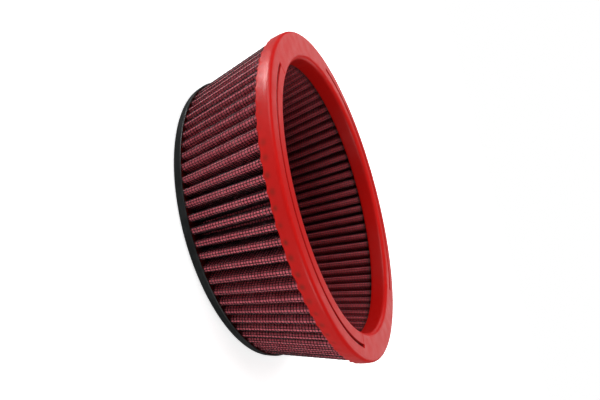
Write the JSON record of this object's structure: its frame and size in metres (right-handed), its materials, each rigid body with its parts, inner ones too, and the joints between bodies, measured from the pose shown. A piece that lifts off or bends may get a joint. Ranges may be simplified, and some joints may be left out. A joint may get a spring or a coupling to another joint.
{
  "type": "motorcycle air filter",
  "caption": "Conical pleated oiled-gauze air filter with a soft moulded sealing flange at the open end and a shallow pressed end cap.",
  "frame": {"origin": "centre of the end cap's flat underside, at the middle of the lowest plane", "axes": "+Z along the filter's axis from the end cap to the sealing face; +X is any radius, the grooves in the face lie towards -Y and +Y"},
  "size_m": [0.18, 0.18, 0.0575],
  "materials": {
    "flange_polyurethane": "soft satin moulded polyurethane",
    "screen_wire": "dark coated fine wire cloth",
    "oiled_gauze": "oiled cotton gauze",
    "seam_adhesive": "cured adhesive strip",
    "cap_black": "satin black coating",
    "potting_polyurethane": "poured polyurethane"
  },
  "bodies": {
    "root": {"sealing_flange": "flange_polyurethane", "outer_screen": "screen_wire", "gauze_ply_1": "oiled_gauze", "gauze_ply_2": "oiled_gauze", "gauze_ply_3": "oiled_gauze", "gauze_ply_4": "oiled_gauze", "inner_screen": "screen_wire", "seam_strip": "seam_adhesive", "end_cap": "cap_black", "cap_potting": "potting_polyurethane"}
  },
  "joints": []
}
